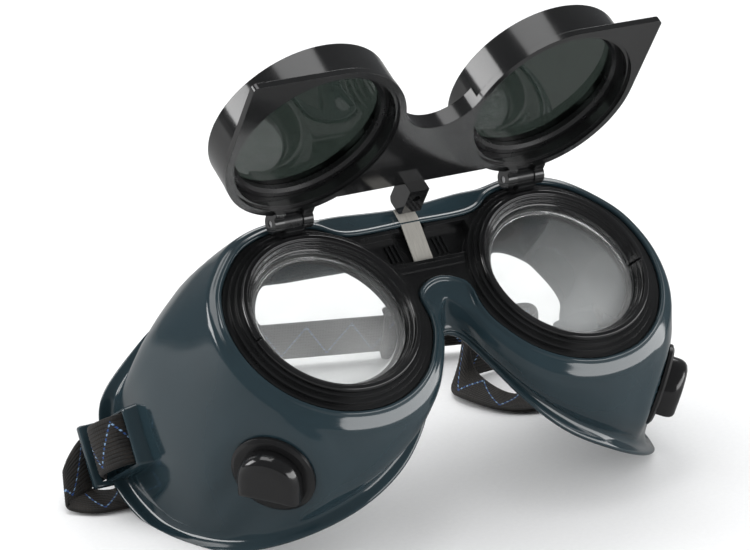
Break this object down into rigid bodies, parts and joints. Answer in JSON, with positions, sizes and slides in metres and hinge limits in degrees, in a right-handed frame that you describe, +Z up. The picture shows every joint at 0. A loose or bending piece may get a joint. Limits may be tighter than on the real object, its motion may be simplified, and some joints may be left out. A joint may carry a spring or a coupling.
{
  "type": "welding goggles",
  "caption": "Cup-style welding goggles with a flip-up filter frame, round clear lenses, side vents and an elastic head strap, resting open on a bench.",
  "frame": {"origin": "on the bench, under the middle of the whole object's box (strap included)", "axes": "+X to the right as one looks at the front of the goggles, +Y away from the viewer (the side of the wearer's head and strap), +Z up from the bench; the goggles lean back on their rim with the filter frame flipped open"},
  "size_m": [0.1932, 0.1592, 0.1435],
  "materials": {
    "soft_body": "smooth moulded PVC, glossy",
    "carrier": "moulded, semi-gloss",
    "gasket": "smooth",
    "clear_lens": "clear, polished",
    "retaining_ring": "moulded, glossy",
    "spring": "rolled strip, dull",
    "flip_frame": "moulded, glossy",
    "pin": "drawn wire",
    "filter_glass": "dark welding shade",
    "filter_ring": "moulded",
    "vent_body": "moulded",
    "vent_cap": "moulded, glossy",
    "strap": "ribbed elastic webbing",
    "slider": "moulded"
  },
  "bodies": {
    "goggles": {"frame_body": "soft_body", "lens_carrier": "carrier", "lens_gasket_left": "gasket", "lens_gasket_right": "gasket", "clear_lens_left": "clear_lens", "clear_lens_right": "clear_lens", "retaining_ring_left": "retaining_ring", "retaining_ring_right": "retaining_ring", "leaf_spring": "spring", "vent_body_upper_left": "vent_body", "vent_body_upper_right": "vent_body", "vent_body_lower_left": "vent_body", "vent_body_lower_right": "vent_body", "vent_cap_upper_left": "vent_cap", "vent_cap_upper_right": "vent_cap", "vent_cap_lower_left": "vent_cap", "vent_cap_lower_right": "vent_cap", "strap": "strap"},
    "flip_front": {"flip_frame": "flip_frame", "hinge_pin_left": "pin", "hinge_pin_right": "pin", "filter_lens_left": "filter_glass", "filter_lens_right": "filter_glass", "filter_ring_left": "filter_ring", "filter_ring_right": "filter_ring"},
    "slider": {"strap_slider": "slider"}
  },
  "joints": [
    {"name": "flip_hinge", "type": "hinge", "parent": "goggles", "child": "flip_front", "pos_m": [0.00382, -0.03132, 0.08697], "axis": [1, 0, 0], "range_deg": [-12, 96.5]},
    {"name": "strap_slide", "type": "slide", "parent": "goggles", "child": "slider", "axis": [0.9498, -0.3129, 0], "range_m": [-0.05, 0.012]}
  ]
}
